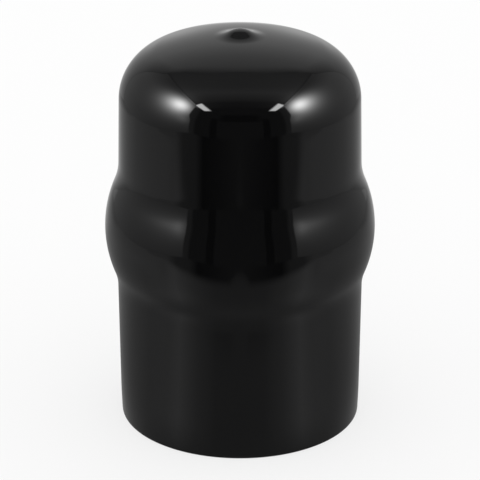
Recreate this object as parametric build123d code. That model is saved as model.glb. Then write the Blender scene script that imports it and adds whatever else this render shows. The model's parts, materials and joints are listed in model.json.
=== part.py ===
"""Tow ball cover: one dip-moulded vinyl cup, domed and closed at the top, open at the bottom.

A steel form is dipped into liquid vinyl, so the inside is the form's own shape and the outside is
that shape plus the coat. From the open rim upwards the cover has a straight skirt, a bulge where a
large ball snaps in, an upper socket with a little draft, and a round shoulder under a flat crown.
The last drop of the dip sets as a low nub on the crown, a little off the axis.

Millimetres. +Z is up along the axis, and the origin is the middle of the rim's resting face.
"""

from build123d import *
from math import degrees, hypot, radians, sqrt, tan
import os

# Form: the inside of the cover
bore_radius = 24.3  # straight skirt, 0.5 mm clear of a 47.6 mm ball
bulge_rise = 2.55  # how far the bulge stands out from the skirt, so that a 50.8 mm ball is free in it
bulge_height = 43.7  # middle of the bulge above the rim
bulge_arc_radius = 22.3  # the bulge's own curve, seen in section
lower_fillet = 15.2  # hollow curve between the skirt and the bulge
upper_fillet = 16.7  # hollow curve between the bulge and the socket
socket_step = 0.25  # upper wall inside the line of the skirt, carried down to the middle of the bulge
socket_draft = 1.2  # degrees that the upper wall leans in towards the crown
shoulder_radius = 9.1  # round corner under the crown
crown_radius = 59.0  # shallow dome of the closed end

# Coat: the vinyl over the form
overall_height = 86.4  # rim to crown, without the nub
wall = 2.4  # bulge, socket and shoulder
crown_wall = 3.0  # closed end, where the dip drains to and sets thicker
skirt_wall = 2.1  # skirt, where the feathered edge begins
skirt_taper = 0.6  # degrees by which the skirt's coat thins towards the rim
rim_wall = 1.9  # trimmed edge
rim_feather = 7.0  # length over which the coat thins to the trimmed edge
rim_edge_radius = 0.3  # broken corners of the trimmed edge

# Nub: the set drop on the crown
nub_height = 1.25
nub_tip_radius = 5.1
nub_fillet = 10.4  # hollow curve between the drop and the crown
nub_offset = 1.9  # from the axis towards +Y, along the crown
nub_root = 1.5  # depth to which the drop is carried into the crown


def arc(centre, radius, start, end):
    """The shorter arc of a circle between two of its points."""
    chord_r = (start[0] + end[0]) / 2 - centre[0]
    chord_z = (start[1] + end[1]) / 2 - centre[1]
    reach = radius / hypot(chord_r, chord_z)
    middle = (centre[0] + chord_r * reach, centre[1] + chord_z * reach)
    return ThreePointArc(start, middle, end)


def towards(start, goal, distance):
    """The point at that distance from start on the way to goal."""
    share = distance / hypot(goal[0] - start[0], goal[1] - start[1])
    return (start[0] + (goal[0] - start[0]) * share, start[1] + (goal[1] - start[1]) * share)


def heights_on_circle(offset, slope, radius):
    """Both t at which the line (offset + slope * t, t) is at that radius from zero, the lower one first."""
    square = 1 + slope**2
    middle = -slope * offset / square
    half = sqrt(middle**2 - (offset**2 - radius**2) / square)
    return middle - half, middle + half


def wall_meets_bulge(wall_radius, slope, bulge_centre, arc_radius, fillet_radius, above):
    """Hollow fillet between the bulge and a wall of that radius at the bulge's middle: (centre, wall, bulge)."""
    lean = hypot(1, slope)
    line = wall_radius + fillet_radius * lean
    rises = heights_on_circle(line - bulge_centre[0], slope, arc_radius + fillet_radius)
    rise = rises[1] if above else rises[0]
    centre = (line + slope * rise, bulge_centre[1] + rise)
    on_wall = (centre[0] - fillet_radius / lean, centre[1] + fillet_radius * slope / lean)
    return centre, on_wall, towards(bulge_centre, centre, arc_radius)


def wall_meets_crown(wall_radius, slope, corner_radius, dome_radius, pole_height):
    """Round shoulder between the upper wall and the crown: (its centre, point on wall, point on crown)."""
    lean = hypot(1, slope)
    line = wall_radius - corner_radius * lean
    dome_centre = (0, pole_height - dome_radius)
    base = bulge_height - dome_centre[1]
    rise = heights_on_circle(line - slope * base, slope, dome_radius - corner_radius)[1]
    centre = (line + slope * (rise - base), dome_centre[1] + rise)
    on_wall = (centre[0] + corner_radius / lean, centre[1] - corner_radius * slope / lean)
    return centre, on_wall, towards(dome_centre, centre, dome_radius)


def bell(skirt_bottom, skirt_radius, skirt_slope, coat, dome_radius, pole_height):
    """One side of the wall from the skirt up to the crown's edge, with that much coat on the form."""
    socket_radius = bore_radius - socket_step + coat
    socket_slope = -tan(radians(socket_draft))
    arc_radius = bulge_arc_radius + coat
    bulge_centre = (bore_radius + bulge_rise - bulge_arc_radius, bulge_height)
    low, low_wall, low_bulge = wall_meets_bulge(
        skirt_radius, skirt_slope, bulge_centre, arc_radius, lower_fillet - coat, above=False
    )
    high, high_wall, high_bulge = wall_meets_bulge(
        socket_radius, socket_slope, bulge_centre, arc_radius, upper_fillet - coat, above=True
    )
    corner_radius = shoulder_radius + coat
    corner, corner_wall, crown_edge = wall_meets_crown(
        socket_radius, socket_slope, corner_radius, dome_radius, pole_height
    )
    edges = [
        Line(skirt_bottom, low_wall),
        arc(low, lower_fillet - coat, low_wall, low_bulge),
        arc(bulge_centre, arc_radius, low_bulge, high_bulge),
        arc(high, upper_fillet - coat, high_bulge, high_wall),
        Line(high_wall, corner_wall),
        arc(corner, corner_radius, corner_wall, crown_edge),
    ]
    return edges, crown_edge


def inside():
    """The form's side of the wall, from the rim to the pole."""
    pole_height = overall_height - crown_wall
    edges, crown_edge = bell((bore_radius, 0), bore_radius, 0, 0, crown_radius, pole_height)
    dome_centre = (0, pole_height - crown_radius)
    return edges + [arc(dome_centre, crown_radius, crown_edge, (0, pole_height))]


def outside():
    """The coat's side of the wall, from the rim over the feathered edge to the pole."""
    slope = tan(radians(skirt_taper))
    feather_top = (bore_radius + skirt_wall, rim_feather)
    trimmed_edge = (bore_radius + rim_wall, 0)
    skirt_radius = feather_top[0] + slope * (bulge_height - rim_feather)
    dome_radius = crown_radius + crown_wall
    edges, crown_edge = bell(feather_top, skirt_radius, slope, wall, dome_radius, overall_height)
    feather = TangentArc(feather_top, trimmed_edge, tangent=(-slope, -1))
    dome_centre = (0, overall_height - dome_radius)
    return [feather] + edges + [arc(dome_centre, dome_radius, crown_edge, (0, overall_height))]


def nub():
    """The drop, rooted in the crown: drawn on the axis, then swung about the middle of the crown's sphere."""
    dome_radius = crown_radius + crown_wall
    dome_centre = (0, overall_height - dome_radius)
    tip = (0, overall_height + nub_height)
    tip_centre = (0, tip[1] - nub_tip_radius)
    span = tip_centre[1] - dome_centre[1]
    to_dome = dome_radius + nub_fillet
    to_tip = nub_tip_radius + nub_fillet
    rise = (span**2 + to_dome**2 - to_tip**2) / (2 * span)
    hollow = (sqrt(to_dome**2 - rise**2), dome_centre[1] + rise)
    foot = towards(dome_centre, hollow, dome_radius)
    neck = towards(tip_centre, hollow, nub_tip_radius)
    root = (0, overall_height - nub_root)
    root_edge = towards(foot, dome_centre, nub_root)
    section = make_face(Curve() + [
        arc(hollow, nub_fillet, foot, neck),
        arc(tip_centre, nub_tip_radius, neck, tip),
        Line(tip, root),
        Line(root, root_edge),
        Line(root_edge, foot),
    ])
    drop = revolve(Plane.XZ * section, axis=Axis.Z)
    across = Axis((0, 0, dome_centre[1]), (1, 0, 0))
    return drop.rotate(across, -degrees(nub_offset / dome_radius))


def cover():
    """The whole moulding: its half section, turned once about the axis, and the drop."""
    inner = inside()
    outer = outside()
    axis_line = Line(inner[-1] @ 1, outer[-1] @ 1)
    rim_line = Line((bore_radius, 0), (bore_radius + rim_wall, 0))
    section = make_face(Curve() + inner + outer + [axis_line, rim_line])
    rim_corners = section.vertices().filter_by(lambda corner: abs(corner.Y) < rim_edge_radius)
    section = fillet(rim_corners, radius=rim_edge_radius)
    return revolve(Plane.XZ * section, axis=Axis.Z) + nub()


os.makedirs("parts", exist_ok=True)
export_step(cover(), "parts/ball_cover.step")
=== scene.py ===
import bpy
import json
from collections import namedtuple
from math import atan2, cos, hypot, pi, radians, sin, sqrt, tan
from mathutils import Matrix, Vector


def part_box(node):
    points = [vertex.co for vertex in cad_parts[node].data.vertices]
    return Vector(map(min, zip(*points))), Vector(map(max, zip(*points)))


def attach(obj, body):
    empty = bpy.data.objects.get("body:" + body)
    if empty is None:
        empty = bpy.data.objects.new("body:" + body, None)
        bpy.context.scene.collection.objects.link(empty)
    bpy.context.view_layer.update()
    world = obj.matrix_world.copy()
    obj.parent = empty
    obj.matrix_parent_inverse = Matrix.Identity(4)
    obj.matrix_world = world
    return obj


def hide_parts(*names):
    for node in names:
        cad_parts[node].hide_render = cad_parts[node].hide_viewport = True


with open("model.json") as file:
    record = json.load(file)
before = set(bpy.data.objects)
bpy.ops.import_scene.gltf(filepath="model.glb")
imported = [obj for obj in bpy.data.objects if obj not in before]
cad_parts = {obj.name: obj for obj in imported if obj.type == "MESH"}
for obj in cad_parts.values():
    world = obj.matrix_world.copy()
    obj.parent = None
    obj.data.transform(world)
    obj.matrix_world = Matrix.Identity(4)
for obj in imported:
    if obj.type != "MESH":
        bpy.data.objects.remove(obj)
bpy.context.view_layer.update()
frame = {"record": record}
mm = 0.001


class Wire:
    # a shader socket that can stand in Python sums
    def __init__(self, shader, socket):
        self.shader = shader
        self.socket = socket

    def __add__(self, other):
        return self.shader.calc("ADD", self, other)

    def __radd__(self, other):
        return self.shader.calc("ADD", other, self)

    def __sub__(self, other):
        return self.shader.calc("SUBTRACT", self, other)

    def __rsub__(self, other):
        return self.shader.calc("SUBTRACT", other, self)

    def __mul__(self, other):
        return self.shader.calc("MULTIPLY", self, other)

    def __rmul__(self, other):
        return self.shader.calc("MULTIPLY", other, self)

    def __truediv__(self, other):
        return self.shader.calc("DIVIDE", self, other)

    def __rtruediv__(self, other):
        return self.shader.calc("DIVIDE", other, self)

    def __pow__(self, other):
        return self.shader.calc("POWER", self, other)

    def __abs__(self):
        return self.shader.calc("ABSOLUTE", self)


class Shader:
    # one material, made node by node
    def __init__(self, name):
        self.material = bpy.data.materials.new(name)
        self.material.use_nodes = True
        self.tree = self.material.node_tree
        self.tree.nodes.clear()

    def node(self, kind, settings=None, sockets=None, out=0):
        made = self.tree.nodes.new(kind)
        for key, value in (settings or {}).items():
            if key == "stops":
                ramp = made.color_ramp.elements
                while len(ramp) < len(value):
                    ramp.new(1.0)
                for stop, (place, level) in zip(ramp, value):
                    stop.position = place
                    stop.color = (level, level, level, 1)
            else:
                setattr(made, key, value)
        for key, value in (sockets or {}).items():
            if isinstance(value, Wire):
                self.tree.links.new(value.socket, made.inputs[key])
            else:
                made.inputs[key].default_value = value
        return Wire(self, made.outputs[out]) if made.outputs else None

    def calc(self, operation, *values):
        return self.node("ShaderNodeMath", {"operation": operation}, dict(enumerate(values)))

    def parts(self, coordinate):
        # the three numbers of a texture coordinate
        spot = self.node("ShaderNodeTexCoord", out=coordinate)
        split = self.node("ShaderNodeSeparateXYZ", None, {0: spot})
        return [Wire(self, part) for part in split.socket.node.outputs]

    def place(self, axes):
        # a point on the object along the named axes, in millimetres
        point = dict(zip("xyz", self.parts("Object")))
        return [point[axis] * (1 / mm) for axis in axes]

    def ramp(self, value, stops):
        # level that changes from stop to stop, with stops given in the value's own units
        low, high = stops[0][0], stops[-1][0]
        span = [((place - low) / (high - low), level) for place, level in stops]
        return self.node("ShaderNodeValToRGB", {"stops": span}, {"Fac": (value - low) / (high - low)})

    def fade(self, value, low, high):
        # 0 below low, 1 above high, and soft between
        sockets = {"Value": value, "From Min": low, "From Max": high}
        return self.node("ShaderNodeMapRange", {"interpolation_type": "SMOOTHSTEP"}, sockets)

    def noise(self, size, detail):
        # noise with features of that size in millimetres
        spot = self.node("ShaderNodeTexCoord", out="Object")
        sockets = {"Vector": spot, "Scale": 1 / (size * mm), "Detail": detail}
        return self.node("ShaderNodeTexNoise", None, sockets)

    def tint(self, first, second, share):
        sockets = {"Factor": share, "A": first, "B": second}
        return self.node("ShaderNodeMix", {"data_type": "RGBA"}, sockets, out="Result")

    def surface(self, finish):
        self.node("ShaderNodeOutputMaterial", None, {"Surface": finish})

    def glow(self, level):
        self.surface(self.node("ShaderNodeEmission", None, {"Color": level, "Strength": 1.0}))


def blend(first, second, share):
    return first + (second - first) * share


# The cover's skin, turned from its half section. Sizes in millimetres and degrees.
cover = {
    "node": "ball_cover",
    "bulgeHeight": 43.7,
    "bulgeArc": 22.3,
    "bulgeRise": 2.55,
    "lowerHollow": 15.2,
    "upperHollow": 16.7,
    "socketStep": 0.25,
    "socketDraft": 1.2,
    "shoulder": 9.1,
    "crown": 59.0,
    "crownWall": 3.0,
    "skirtWall": 2.1,
    "skirtTaper": 0.6,
    "rimWall": 1.9,
    "rimFeather": 7.0,
    "rimEdge": 0.3,
    "nubHeight": 1.25,
    "nubTip": 5.1,
    "nubHollow": 10.4,
    "nubOffset": 1.9,  # behind the axis, along the crown
    "nubBlend": 9.0,  # width of crown that slides with the nub
    "segments": 240,  # round the axis
    "ringStep": 0.7,  # spacing of the rings along the section
    "tipRings": 10,  # fewest rings on the nub's tip, on its hollow and on the shoulder
    "hollowRings": 16,
    "shoulderRings": 40,
    "mergeGap": 0.002,  # vertices this close are one
    "selectSlack": 0.01,  # in picking the nub's vertices
}
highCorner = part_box(cover["node"])[1]
boreRadius = frame["record"]["mounts"][0]["dims"]["r_mm"]
wall = min(highCorner[0], highCorner[1]) / mm - boreRadius - cover["bulgeRise"]
dome = cover["crown"] + cover["crownWall"]
nubTilt = cover["nubOffset"] / dome
nubSpan = dome + cover["nubHeight"] - cover["nubTip"]  # from the dome's middle to the tip's
crownHeight = highCorner[2] / mm - cover["nubHeight"] + nubSpan * (1 - cos(nubTilt))

Hollow = namedtuple("Hollow", "centre onWall onBulge")
Bell = namedtuple("Bell", "bulgeCentre low high shoulderCentre shoulderFoot domeCentre crownEdge")


def clearSelection():
    if bpy.context.mode != "OBJECT":
        bpy.ops.object.mode_set(mode="OBJECT")
    bpy.ops.object.select_all(action="DESELECT")


class Pen:
    # draws a section in edit mode, vertex by vertex, on the XZ plane
    def __init__(self, name, start):
        clearSelection()
        bpy.ops.mesh.primitive_plane_add(size=mm, location=(start[0] * mm, 0, start[1] * mm))
        self.piece = bpy.context.object
        self.piece.name = name
        bpy.ops.object.transform_apply(location=True, rotation=True, scale=True)
        bpy.ops.object.mode_set(mode="EDIT")
        bpy.ops.mesh.select_all(action="SELECT")
        bpy.ops.mesh.merge(type="CENTER")
        self.at = start

    def line(self, end):
        length = hypot(end[0] - self.at[0], end[1] - self.at[1])
        steps = max(1, round(length / cover["ringStep"]))
        move = ((end[0] - self.at[0]) * mm / steps, 0, (end[1] - self.at[1]) * mm / steps)
        for step in range(steps):
            bpy.ops.mesh.extrude_region_move(TRANSFORM_OT_translate={"value": move})
        self.at = end

    def arc(self, centre, end, fewest=4):
        # the shorter way round
        radius = hypot(end[0] - centre[0], end[1] - centre[1])
        first = atan2(self.at[1] - centre[1], self.at[0] - centre[0])
        last = atan2(end[1] - centre[1], end[0] - centre[0])
        turn = (last - first + pi) % (2 * pi) - pi
        steps = max(fewest, round(abs(turn) * radius / cover["ringStep"]))
        middle = (centre[0] * mm, 0, centre[1] * mm)
        bpy.ops.mesh.spin(steps=steps, angle=turn, center=middle, axis=(0, 1, 0))
        self.at = end

    def turn(self):
        # the finished section, turned once about the axis
        bpy.ops.mesh.select_all(action="SELECT")
        bpy.ops.mesh.spin(steps=cover["segments"], angle=2 * pi, center=(0, 0, 0), axis=(0, 0, 1))
        bpy.ops.mesh.select_all(action="SELECT")
        bpy.ops.mesh.remove_doubles(threshold=cover["mergeGap"] * mm)
        bpy.ops.mesh.normals_make_consistent(inside=False)
        bpy.ops.object.mode_set(mode="OBJECT")
        bpy.ops.object.shade_smooth()
        return self.piece


def towards(start, goal, distance):
    share = distance / hypot(goal[0] - start[0], goal[1] - start[1])
    return (start[0] + (goal[0] - start[0]) * share, start[1] + (goal[1] - start[1]) * share)


def risesOnCircle(offset, slope, radius):
    # both heights at which a sloping line crosses a circle, the lower one first
    square = 1 + slope**2
    middle = -slope * offset / square
    half = sqrt(middle**2 - (offset**2 - radius**2) / square)
    return middle - half, middle + half


def hollowAtBulge(wallRadius, slope, bulgeCentre, arcRadius, hollow, above):
    # hollow curve between the bulge and the wall above or below it
    lean = hypot(1, slope)
    line = wallRadius + hollow * lean
    rise = risesOnCircle(line - bulgeCentre[0], slope, arcRadius + hollow)[1 if above else 0]
    centre = (line + slope * rise, bulgeCentre[1] + rise)
    onWall = (centre[0] - hollow / lean, centre[1] + hollow * slope / lean)
    return Hollow(centre, onWall, towards(bulgeCentre, centre, arcRadius))


def bellStations(coat, skirtRadius, skirtSlope, domeRadius, pole):
    # tangent points of one side of the wall, with that much coat over the form
    bulgeArc = cover["bulgeArc"] + coat
    bulgeCentre = (boreRadius + cover["bulgeRise"] - cover["bulgeArc"], cover["bulgeHeight"])
    slope = -tan(radians(cover["socketDraft"]))
    socket = boreRadius - cover["socketStep"] + coat
    lowerHollow = cover["lowerHollow"] - coat
    upperHollow = cover["upperHollow"] - coat
    low = hollowAtBulge(skirtRadius, skirtSlope, bulgeCentre, bulgeArc, lowerHollow, False)
    high = hollowAtBulge(socket, slope, bulgeCentre, bulgeArc, upperHollow, True)
    corner = cover["shoulder"] + coat
    lean = hypot(1, slope)
    line = socket - corner * lean
    domeCentre = (0, pole - domeRadius)
    base = cover["bulgeHeight"] - domeCentre[1]
    rise = risesOnCircle(line - slope * base, slope, domeRadius - corner)[1]
    shoulderCentre = (line + slope * (rise - base), domeCentre[1] + rise)
    shoulderFoot = (shoulderCentre[0] + corner / lean, shoulderCentre[1] - corner * slope / lean)
    crownEdge = towards(domeCentre, shoulderCentre, domeRadius)
    return Bell(bulgeCentre, low, high, shoulderCentre, shoulderFoot, domeCentre, crownEdge)


def swingNub(piece, foot, domeCentre):
    # the drop set off the axis: it goes round the middle of the crown's sphere,
    # and the crown near it slides along
    bpy.ops.object.mode_set(mode="EDIT")
    bpy.ops.mesh.select_mode(type="VERT")
    bpy.ops.mesh.select_all(action="DESELECT")
    bpy.ops.object.mode_set(mode="OBJECT")
    slack = cover["selectSlack"]
    for vertex in piece.data.vertices:
        onTop = vertex.co.z > (foot[1] - slack) * mm
        vertex.select = onTop and hypot(vertex.co.x, vertex.co.y) < (foot[0] + slack) * mm
    bpy.ops.object.mode_set(mode="EDIT")
    bpy.ops.transform.rotate(value=nubTilt, orient_axis="X", center_override=(0, 0, domeCentre[1] * mm),
                             use_proportional_edit=True, use_proportional_connected=True,
                             proportional_edit_falloff="SMOOTH", proportional_size=cover["nubBlend"] * mm)
    bpy.ops.object.mode_set(mode="OBJECT")


def makeCover():
    slope = tan(radians(cover["skirtTaper"]))
    featherTop = (boreRadius + cover["skirtWall"], cover["rimFeather"])
    skirtRadius = featherTop[0] + slope * (cover["bulgeHeight"] - cover["rimFeather"])
    outer = bellStations(wall, skirtRadius, slope, dome, crownHeight)
    pole = crownHeight - cover["crownWall"]
    inner = bellStations(0, boreRadius, 0, cover["crown"], pole)

    # the nub: a round tip, and a hollow that runs out into the crown
    tipCentre = (0, outer.domeCentre[1] + nubSpan)
    toDome = dome + cover["nubHollow"]
    toTip = cover["nubTip"] + cover["nubHollow"]
    rise = (nubSpan**2 + toDome**2 - toTip**2) / (2 * nubSpan)
    nubCentre = (sqrt(toDome**2 - rise**2), outer.domeCentre[1] + rise)
    nubFoot = towards(outer.domeCentre, nubCentre, dome)

    pen = Pen("coverSkin", (0, crownHeight + cover["nubHeight"]))
    pen.arc(tipCentre, towards(tipCentre, nubCentre, cover["nubTip"]), cover["tipRings"])
    pen.arc(nubCentre, nubFoot, cover["hollowRings"])
    pen.arc(outer.domeCentre, outer.crownEdge)
    pen.arc(outer.shoulderCentre, outer.shoulderFoot, cover["shoulderRings"])
    pen.line(outer.high.onWall)
    pen.arc(outer.high.centre, outer.high.onBulge)
    pen.arc(outer.bulgeCentre, outer.low.onBulge)
    pen.arc(outer.low.centre, outer.low.onWall)
    pen.line(featherTop)

    # the feathered edge bends in, tangent to the skirt, and the trimmed corners are broken
    edge = cover["rimEdge"]
    trimmed = (boreRadius + cover["rimWall"], edge)
    outward = Vector((1, -slope)).normalized()
    chord = Vector(trimmed) - Vector(featherTop)
    bend = -chord.length_squared / (2 * chord.dot(outward))
    pen.arc(Vector(featherTop) - bend * outward, trimmed)
    pen.arc((trimmed[0] - edge, edge), (trimmed[0] - edge, 0))
    pen.line((boreRadius + edge, 0))
    pen.arc((boreRadius + edge, edge), (boreRadius, edge))

    # up the inside
    pen.line(inner.low.onWall)
    pen.arc(inner.low.centre, inner.low.onBulge)
    pen.arc(inner.bulgeCentre, inner.high.onBulge)
    pen.arc(inner.high.centre, inner.high.onWall)
    pen.line(inner.shoulderFoot)
    pen.arc(inner.shoulderCentre, inner.crownEdge)
    pen.arc(inner.domeCentre, (0, pole))
    piece = pen.turn()
    swingNub(piece, nubFoot, outer.domeCentre)
    return piece


skin = makeCover()
print("cover skin:", len(skin.data.vertices), "vertices")

# Black vinyl: a gloss outside that set in air, and a satin inside that set against the form.
# Each noise has its size in millimetres and its detail.
vinyl = {
    "black": (0.0010, 0.0010, 0.0011, 1),
    "bloom": (0.0022, 0.0022, 0.0024, 1),  # the faint grey of plasticiser at the surface
    "bloomNoise": (22.0, 3.0),
    "insideBlack": (0.014, 0.014, 0.0146, 1),
    "gloss": 0.03,
    "smear": 0.03,  # how much rougher the dullest patches are
    "smearNoise": (9.0, 4.0),
    "smearEdge": (0.45, 0.75),
    "insideRough": 0.42,
    "ior": 1.5,
    "peelNoise": (1.4, 1.0),  # grain of the set surface
    "peelDepth": 0.0008,
    "sagNoise": (14.0, 0.0),  # slow waves of the draining coat
    "sagDepth": 0.004,
    "formRing": 0.45,  # turning marks of the form, inside
    "formDepth": 0.004,
}


def markInside(piece):
    # 1 on the bore, 0 on the outside and the rim
    heart = Vector((0, 0, cover["bulgeHeight"] * mm))
    marks = piece.data.attributes.new("inside", "FLOAT", "POINT")
    levels = [1.0 if vertex.normal.dot(vertex.co - heart) < 0 else 0.0 for vertex in piece.data.vertices]
    marks.data.foreach_set("value", levels)


def vinylMaterial():
    shader = Shader("blackVinyl")
    z = shader.place("z")[0]
    inside = shader.node("ShaderNodeAttribute", {"attribute_name": "inside"}, out="Fac")
    outer = shader.tint(vinyl["black"], vinyl["bloom"], shader.noise(*vinyl["bloomNoise"]))
    colour = shader.tint(outer, vinyl["insideBlack"], inside)
    smear = shader.fade(shader.noise(*vinyl["smearNoise"]), *vinyl["smearEdge"])
    rough = blend(vinyl["gloss"] + vinyl["smear"] * smear, vinyl["insideRough"], inside)
    peel = shader.noise(*vinyl["peelNoise"]) * (vinyl["peelDepth"] * mm)
    sag = shader.noise(*vinyl["sagNoise"]) * (vinyl["sagDepth"] * mm)
    ring = shader.calc("SINE", z * (2 * pi / vinyl["formRing"])) * (vinyl["formDepth"] * mm)
    height = blend(peel + sag, ring, inside)
    bump = shader.node("ShaderNodeBump", None, {"Height": height, "Strength": 1.0, "Distance": 1.0})
    sockets = {"Base Color": colour, "Roughness": rough, "Normal": bump, "IOR": vinyl["ior"]}
    shader.surface(shader.node("ShaderNodeBsdfPrincipled", None, sockets))
    return shader.material


markInside(skin)
skin.data.materials.append(vinylMaterial())
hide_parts(cover["node"])
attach(skin, "root")
print("vinyl on", skin.name)

# Floor: plain and white, all round. In metres.
floorSet = {
    "radius": 3.0,
    "edges": 128,
    "drop": 0.00005,  # just clear of the rim
    "white": (0.96, 0.96, 0.96, 1),
    "lift": 0.7,  # how far it is lifted to plain white for the camera
}


def makeFloor():
    clearSelection()
    bpy.ops.mesh.primitive_circle_add(vertices=floorSet["edges"], radius=floorSet["radius"],
                                      fill_type="NGON", location=(0, 0, -floorSet["drop"]))
    floor = bpy.context.object
    floor.name = "floor"
    bpy.ops.object.transform_apply(location=True, rotation=True, scale=True)
    shader = Shader("whiteFloor")
    paint = shader.node("ShaderNodeBsdfDiffuse", None, {"Color": floorSet["white"]})
    white = shader.node("ShaderNodeEmission", None, {"Color": (1, 1, 1, 1), "Strength": 1.0})
    seen = shader.node("ShaderNodeLightPath", out="Is Camera Ray")
    sockets = {0: seen * floorSet["lift"], 1: paint, 2: white}
    shader.surface(shader.node("ShaderNodeMixShader", None, sockets))
    floor.data.materials.append(shader.material)
    floor.visible_glossy = False


makeFloor()
print("floor laid")

# Light tent that the gloss mirrors: fabric walls with a lamp behind each side, open and dark in front.
# Sizes in millimetres, brightness as radiance. A pair of numbers is where a soft edge begins and ends,
# and a list is a level that changes from place to place.
tent = {
    "backWidth": 300,  # half the width at the back wall
    "splay": 0.12,  # how much wider the side walls stand per millimetre nearer the front
    "front": -365,
    "back": 325,
    "ceiling": 480,
    "ground": -25,
    "rod": 9,  # thickness of the frame at the fabric's edges
}
frontWidth = tent["backWidth"] + tent["splay"] * (tent["back"] - tent["front"])


def tentPanel(name, corners, material):
    # a panel that only the gloss sees
    clearSelection()
    bpy.ops.mesh.primitive_plane_add(size=2 * mm)
    panel = bpy.context.object
    panel.name = name
    order = sorted(panel.data.vertices, key=lambda vertex: atan2(vertex.co.y, vertex.co.x))
    for vertex, corner in zip(order, corners):
        vertex.co = Vector(corner) * mm
    panel.data.materials.append(material)
    panel.visible_camera = False
    panel.visible_diffuse = False
    panel.visible_shadow = False


def levelPanel(name, z, material):
    near, far, front, back = frontWidth, tent["backWidth"], tent["front"], tent["back"]
    tentPanel(name, [(-near, front, z), (near, front, z), (far, back, z), (-far, back, z)], material)


def uprightPanel(name, y, halfWidth, material):
    left, right, low, high = -halfWidth, halfWidth, tent["ground"], tent["ceiling"]
    tentPanel(name, [(left, y, low), (right, y, low), (right, y, high), (left, y, high)], material)


def pool(light, across, up):
    # round pool of light that falls off from its middle
    wide = (across - light["across"]) / light["width"]
    high = (up - light["up"]) / light["height"]
    return light["level"] / (1 + wide * wide + high * high) ** light["falloff"]


sideLamp = {
    "level": 19.0,
    "across": -163,
    "up": 343,
    "width": 217,
    "height": 202,
    "falloff": 4.8,
    "tilt": 0.144,  # how much lower the glow lies per millimetre further back
}


def lampGlow(y, z):
    # the lamp behind a side wall, as it shows through the fabric
    return pool(sideLamp, y, z + sideLamp["tilt"] * (y - sideLamp["across"]))


sideFabric = {
    "weave": [(-25, 0.27), (10, 0.295), (130, 0.375), (300, 0.395), (480, 0.26)],  # painted glow of the lit fabric, by height
    "lampFoot": {"level": 0.72, "across": -268, "up": 176, "width": 93, "height": 70, "falloff": 2},
    "hem": -358,  # where the lit fabric ends in front
    "hemBack": 40,  # how far the hem goes back at the top
    "hemRise": (175, 290),
    "hemSoft": 12,
    "unlit": 0.20,
    "rodShade": 0.08,
}


def sideWalls():
    shader = Shader("tentSide")
    y, z = shader.place("yz")
    # painted glow of the fabric, lit by the lamp behind it
    weave = shader.ramp(z, sideFabric["weave"])
    hem = sideFabric["hem"] + sideFabric["hemBack"] * shader.fade(z, *sideFabric["hemRise"])
    lit = shader.fade(y - hem, -sideFabric["hemSoft"], sideFabric["hemSoft"])
    rod = 1 - shader.fade(z - tent["ground"], 0, tent["rod"])
    fabric = weave + lampGlow(y, z) + pool(sideFabric["lampFoot"], y, z)
    shader.glow(blend(sideFabric["unlit"], fabric * (1 - sideFabric["rodShade"] * rod), lit))
    low, high, front, back = tent["ground"], tent["ceiling"], tent["front"], tent["back"]
    for side in (-1, 1):
        near, far = side * frontWidth, side * tent["backWidth"]
        corners = [(near, front, low), (far, back, low), (far, back, high), (near, front, high)]
        tentPanel("tentSide", corners, shader.material)


backCloth = {
    "weave": [(240, 0.54), (340, 0.42), (480, 0.33)],  # painted glow of the lit cloth, by height
    "foot": 0.41,  # brighter at the foot, in the middle
    "footHeight": (0, 60),
    "footWidth": (20, 120),
    # each lamp's light on the cloth, a slanting pool that leaves out the middle
    "bounce": {"level": 0.36, "across": 173, "up": -37, "width": 134, "height": 78, "falloff": 2},
    "bounceEdge": (-10, 50),
    # the cloth hangs lower between its ties, by that level in millimetres
    "sag": {"level": 80, "across": 115, "up": 0, "width": 45, "height": 1, "falloff": 1},
    "shade": 0.56,  # under the frame's top rod
    "shadeHeight": (432, 532),
    "sideShade": 0.38,
    "rodShade": 0.4,
}


def backWall():
    shader = Shader("tentBack")
    x, z = shader.place("xz")
    aside = abs(x)
    # painted glow of the cloth, by height
    weave = shader.ramp(z, backCloth["weave"])
    foot = 1 - shader.fade(z, *backCloth["footHeight"])
    foot = foot * (1 - shader.fade(aside, *backCloth["footWidth"]))
    bounce = pool(backCloth["bounce"], aside + z, aside - z) * shader.fade(aside, *backCloth["bounceEdge"])
    across = x / tent["backWidth"]
    rod = 1 - shader.fade(1 - abs(across), 0, tent["rod"] / tent["backWidth"])
    shade = shader.fade(z + pool(backCloth["sag"], aside, 0.0), *backCloth["shadeHeight"])
    level = weave + backCloth["foot"] * foot + bounce
    level = level * (1 - backCloth["sideShade"] * across * across)
    shader.glow(level * (1 - backCloth["rodShade"] * rod) * (1 - backCloth["shade"] * shade))
    uprightPanel("tentBack", tent["back"], tent["backWidth"], shader.material)


ceilingCloth = {
    # painted glow of the lit cloth, from front to back
    "weave": [(-365, 0.06), (-240, 0.085), (-205, 0.15), (-60, 0.325), (40, 0.235), (325, 0.14)],
    "turnIn": 32,  # how far the side fabric is turned in over the frame
    "turnInEdge": (-4, 2),
    "turnInLevel": 0.26,
    "turnInRise": 15,  # the turned-in strip is lit as if it were that much higher on the side
    "spill": {"level": 0.44, "across": 0, "up": -130, "width": 60, "height": 110, "falloff": 1},
    "seamShade": 0.4,
    "seamSoft": 2,
}


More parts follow.
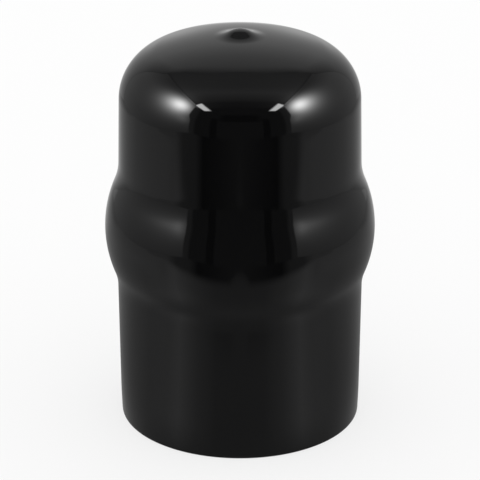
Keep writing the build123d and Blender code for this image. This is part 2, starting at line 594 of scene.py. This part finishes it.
def ceilingPanel():
    shader = Shader("tentCeiling")
    x, y = shader.place("xy")
    # painted glow of the cloth, from front to back
    weave = shader.ramp(y, ceilingCloth["weave"])
    inner = tent["backWidth"] + tent["splay"] * (tent["back"] - y) - ceilingCloth["turnIn"] - abs(x)
    soft = ceilingCloth["seamSoft"]
    seam = shader.fade(inner, -soft, 0) * (1 - shader.fade(inner, tent["rod"], tent["rod"] + soft))
    cloth = (weave + pool(ceilingCloth["spill"], inner, y)) * (1 - ceilingCloth["seamShade"] * seam)
    strip = ceilingCloth["turnInLevel"] + lampGlow(y, tent["ceiling"] + ceilingCloth["turnInRise"])
    shader.glow(blend(strip, cloth, shader.fade(inner, *ceilingCloth["turnInEdge"])))
    levelPanel("tentCeiling", tent["ceiling"], shader.material)


# The first three lists go by degrees from straight in front, the last one by distance from the middle.
groundCloth = {
    "below": [(0, 0.20), (75, 0.20), (120, 0.29), (180, 0.29)],  # painted shadow of the cover on the sheet, close under it
    "belowReach": (50, 90),
    # painted lamp light on the sheet: bright streaks about 53 degrees out, and painted shade straight in
    # front
    "near": [(0, 0.18), (20, 0.185), (36, 0.275), (53, 0.46), (66, 0.345), (85, 0.25), (112, 0.215),
             (180, 0.21)],
    "far": [(0, 0.07), (18, 0.038), (33, 0.018), (40, 0.128), (52, 0.15), (66, 0.385), (110, 0.305),
            (180, 0.36)],
    "farFront": (-179, -109),
    "tongue": 130,  # how much further out the near part reaches in the middle
    "tongueTurn": (1, 9),
    "farReach": (87, 196),
    "farTurn": (57, 72),
    "behind": [(0, 0.62), (90, 0.55), (125, 0.455), (160, 0.39), (200, 0.335), (250, 0.26), (300, 0.235)],
    "behindEdge": (130, 200),
    "flapWidth": 300,  # side fabric that lies on the sheet, towards the front
    "flapSplay": 0.45,
    "flapBack": -60,
    "flapSoft": 5,
    "flapEnd": (-70, -50),
    "flapLevel": 0.30,
}


def groundSheet():
    shader = Shader("tentGround")
    x, y = shader.place("xy")
    aside = abs(x)
    turn = shader.calc("ARCTAN2", aside, 0 - y) * (180 / pi)  # degrees from straight in front
    reach = (x * x + y * y) ** 0.5
    near = shader.ramp(turn, groundCloth["near"])
    far = shader.ramp(turn, groundCloth["far"])
    below = shader.ramp(turn, groundCloth["below"])
    behind = shader.ramp(aside, groundCloth["behind"])
    # painted shadow close under the cover, fading out further from the middle
    coverShadowShare = 1 - shader.fade(reach, *groundCloth["belowReach"])
    tongue = groundCloth["tongue"] * (1 - shader.fade(turn, *groundCloth["tongueTurn"]))
    outer, inner = groundCloth["farFront"]
    beyond = 1 - shader.fade(y, outer - tongue, inner)
    sideways = shader.fade(reach, *groundCloth["farReach"]) * shader.fade(turn, *groundCloth["farTurn"])
    level = blend(near, below, coverShadowShare)
    level = blend(level, far, blend(beyond, 1, sideways))
    level = blend(level, behind, shader.fade(y, *groundCloth["behindEdge"]))
    past = aside - groundCloth["flapWidth"] - groundCloth["flapSplay"] * (y - groundCloth["flapBack"])
    flap = shader.fade(past, -groundCloth["flapSoft"], groundCloth["flapSoft"])
    flap = flap * (1 - shader.fade(y, *groundCloth["flapEnd"]))
    shader.glow(blend(level, shader.calc("MINIMUM", level, groundCloth["flapLevel"]), flap))
    levelPanel("tentGround", tent["ground"], shader.material)


frontGap = {
    "level": 0.062,
    "flap": 0.095,  # fabric at the sides
    "flapEdge": (305, 350),
    "post": 0.042,  # darker stands
    "postInner": (132, 145),
    "postOuter": (180, 196),
    "postTop": (215, 270),
    "hollow": 0.04,  # darker middle
    "hollowFoot": (190, 215),
    "hollowTop": (285, 340),
    "hollowEdge": (90, 150),
}


def frontOpening():
    shader = Shader("tentFront")
    x, z = shader.place("xz")
    aside = abs(x)
    flap = shader.fade(aside, *frontGap["flapEdge"])
    post = shader.fade(aside, *frontGap["postInner"]) * (1 - shader.fade(aside, *frontGap["postOuter"]))
    post = post * (1 - shader.fade(z, *frontGap["postTop"]))
    hollow = shader.fade(z, *frontGap["hollowFoot"]) * (1 - shader.fade(z, *frontGap["hollowTop"]))
    hollow = hollow * (1 - shader.fade(aside, *frontGap["hollowEdge"]))
    lighter = frontGap["level"] + frontGap["flap"] * flap
    shader.glow(lighter - frontGap["post"] * post - frontGap["hollow"] * hollow)
    uprightPanel("tentFront", tent["front"], frontWidth, shader.material)


lampHead = {
    "level": 10.7,
    "y": -230,
    "corners": [(120, 264), (170, 264), (298, 410), (255, 472)],  # out from the middle, and up
    "softEdge": 0.25,  # share of the width, and of the length, that fades out
    "softEnd": 0.15,
}


def lampHeads():
    # the bare lamps, seen past the front edge of the tent: long and slanting
    shader = Shader("lampHead")
    across, along = shader.parts("UV")[:2]
    softEdge, softEnd = lampHead["softEdge"], lampHead["softEnd"]
    edge = shader.fade(across, 0.0, softEdge) * shader.fade(1 - across, 0.0, softEdge)
    end = shader.fade(along, 0.0, softEnd) * shader.fade(1 - along, 0.0, softEnd)
    shader.glow(lampHead["level"] * edge * end)
    for side in (-1, 1):
        corners = [(side * out, lampHead["y"], up) for out, up in lampHead["corners"]]
        tentPanel("lampHead", corners, shader.material)


sideWalls()
backWall()
ceilingPanel()
groundSheet()
frontOpening()
lampHeads()
print("tent hung")

world = bpy.data.worlds.new("studio")
bpy.context.scene.world = world
world.use_nodes = True
sky = world.node_tree.nodes["Background"].inputs
sky["Color"].default_value = (1, 1, 1, 1)
sky["Strength"].default_value = 1.0
print("world lit")

# Camera: a long lens, from a little above. In metres and degrees.
cameraSet = {
    "distance": 0.600,
    "elevation": 23.36,
    "pivot": 0.039815,  # height about which it is raised
    "aim": 0.03985,  # height at which it looks
    "lens": 206.77,
    "clipEnd": 20,
}


def makeCamera():
    clearSelection()
    tilt = radians(cameraSet["elevation"])
    away, up = cameraSet["distance"] * cos(tilt), cameraSet["distance"] * sin(tilt)
    spot = Vector((0, -away, cameraSet["pivot"] + up))
    bpy.ops.object.camera_add(location=spot)
    camera = bpy.context.object
    gaze = Vector((0, 0, cameraSet["aim"])) - spot
    camera.rotation_euler = gaze.to_track_quat("-Z", "Y").to_euler()
    camera.data.lens = cameraSet["lens"]
    camera.data.clip_end = cameraSet["clipEnd"]
    bpy.context.scene.camera = camera


makeCamera()
bpy.context.scene.view_settings.view_transform = "Standard"
print("camera set")
